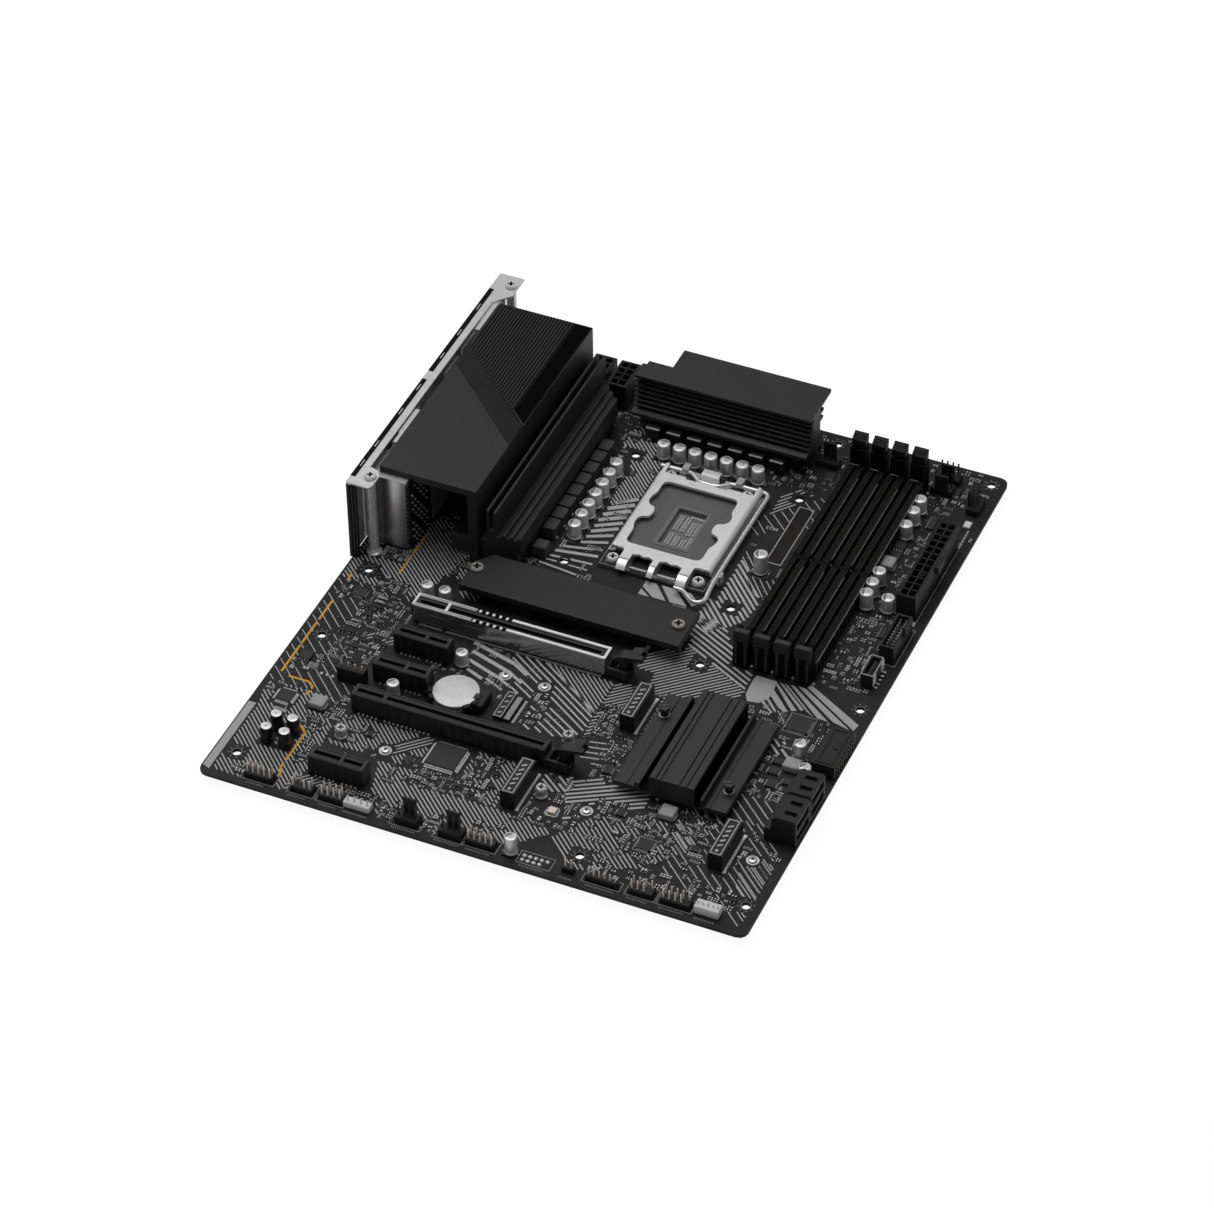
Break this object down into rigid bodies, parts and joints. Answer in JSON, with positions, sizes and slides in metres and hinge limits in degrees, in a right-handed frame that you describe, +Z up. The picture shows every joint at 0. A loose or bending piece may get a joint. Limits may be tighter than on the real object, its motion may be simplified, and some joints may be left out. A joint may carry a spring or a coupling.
{
  "type": "computer motherboard",
  "caption": "ATX motherboard with a levered processor socket, memory and expansion slots with end latches, black heatsinks, rear port panel with shroud, and edge connectors.",
  "frame": {"origin": "centre of the 243.84 x 304.8 mm board outline, on the underside of the laminate", "axes": "+Z up off the component side; +Y along the long side towards the processor edge; +X from the rear port panel towards the front edge"},
  "size_m": [0.2453, 0.3048, 0.0469],
  "materials": {
    "laminate": "black solder mask over glass laminate, pale grey print",
    "port_panel": "satin steel with a dark outer face",
    "bright_steel": "bright plated steel",
    "port_shell": "folded tinned steel",
    "shroud": "dark grey brushed, satin",
    "black_anodised": "black anodised aluminium extrusion",
    "black_plastic": "moulded black nylon",
    "slot_plastic": "moulded black nylon",
    "latch_plastic": "moulded black nylon",
    "slot_steel": "bright folded steel",
    "socket_plastic": "dark grey moulded liquid-crystal polymer",
    "stamped_steel": "plated stamped steel",
    "backplate_steel": "black coated steel",
    "package": "green substrate with a bare die",
    "cell_steel": "satin nickel-plated steel"
  },
  "bodies": {
    "board": {"pcb": "laminate", "io_shield": "port_panel", "io_post_1": "bright_steel", "io_post_2": "bright_steel", "io_screw_1": "bright_steel", "io_screw_2": "bright_steel", "socket_screw_1": "bright_steel", "socket_screw_2": "bright_steel", "socket_screw_3": "bright_steel", "socket_screw_4": "bright_steel", "m2_heatsink_screw_1": "bright_steel", "m2_heatsink_screw_2": "bright_steel", "audio_jack_stack": "port_shell", "lan_usb_stack": "port_shell", "usb_stack_lower": "port_shell", "display_port_stack": "port_shell", "wifi_antenna_block": "port_shell", "usb_stack_upper": "port_shell", "usb_c_header": "port_shell", "io_shroud": "shroud", "vrm_heatsink_left": "black_anodised", "vrm_heatsink_top": "black_anodised", "m2_heatsink": "black_anodised", "chipset_heatsink": "black_anodised", "eps_connector_1": "black_plastic", "eps_connector_2": "black_plastic", "atx_connector": "black_plastic", "usb3_header": "black_plastic", "usb3_edge_header": "black_plastic", "sata_ports_1": "black_plastic", "sata_ports_2": "black_plastic", "m2_connector_1": "black_plastic", "m2_connector_2": "black_plastic", "m2_connector_3": "black_plastic", "battery_holder": "black_plastic", "pcie_x16_slot_1": "black_plastic", "pcie_x16_slot_2": "black_plastic", "pcie_x1_slot_1": "black_plastic", "pcie_x1_slot_2": "black_plastic", "pcie_x1_slot_3": "black_plastic", "chipset_pin_1": "black_plastic", "chipset_pin_2": "black_plastic", "dimm_slot_1": "slot_plastic", "dimm_slot_2": "slot_plastic", "dimm_slot_3": "slot_plastic", "dimm_slot_4": "slot_plastic", "pcie_slot_1_shell": "slot_steel", "socket_body": "socket_plastic", "socket_frame": "stamped_steel", "socket_backplate": "backplate_steel", "chipset": "package", "coin_cell": "cell_steel"},
    "lever": {"load_lever": "bright_steel"},
    "plate": {"load_plate": "stamped_steel"},
    "memory_latch_1": {"dimm_latch_1": "latch_plastic"},
    "memory_latch_2": {"dimm_latch_2": "latch_plastic"},
    "memory_latch_3": {"dimm_latch_3": "latch_plastic"},
    "memory_latch_4": {"dimm_latch_4": "latch_plastic"},
    "card_latch_1": {"pcie_latch_1": "black_plastic"},
    "card_latch_2": {"pcie_latch_2": "black_plastic"}
  },
  "joints": [
    {"name": "socket_lever", "type": "hinge", "parent": "board", "child": "lever", "pos_m": [0.00248, 0.0986, 0.005], "axis": [-1, 0, 0], "range_deg": [0, 118]},
    {"name": "load_plate_hinge", "type": "hinge", "parent": "board", "child": "plate", "pos_m": [0.00248, 0.0986, 0.005], "axis": [-1, 0, 0], "range_deg": [0, 110]},
    {"name": "memory_latch_1_tilt", "type": "hinge", "parent": "board", "child": "memory_latch_1", "pos_m": [0.05948, 0.1305, 0.0052], "axis": [-1, 0, 0], "range_deg": [0, 34]},
    {"name": "memory_latch_2_tilt", "type": "hinge", "parent": "board", "child": "memory_latch_2", "pos_m": [0.0688, 0.1305, 0.0052], "axis": [-1, 0, 0], "range_deg": [0, 34]},
    {"name": "memory_latch_3_tilt", "type": "hinge", "parent": "board", "child": "memory_latch_3", "pos_m": [0.07812, 0.1305, 0.0052], "axis": [-1, 0, 0], "range_deg": [0, 34]},
    {"name": "memory_latch_4_tilt", "type": "hinge", "parent": "board", "child": "memory_latch_4", "pos_m": [0.08744, 0.1305, 0.0052], "axis": [-1, 0, 0], "range_deg": [0, 34]},
    {"name": "card_latch_1_tilt", "type": "hinge", "parent": "board", "child": "card_latch_1", "pos_m": [0.01508, -0.03045, 0.0052], "axis": [0, 1, 0], "range_deg": [0, 24]},
    {"name": "card_latch_2_tilt", "type": "hinge", "parent": "board", "child": "card_latch_2", "pos_m": [0.01508, -0.09141, 0.0052], "axis": [0, 1, 0], "range_deg": [0, 24]}
  ],
  "couplings": [
    {"joint": "load_plate_hinge", "follows": "socket_lever", "ratio": 0.9}
  ]
}
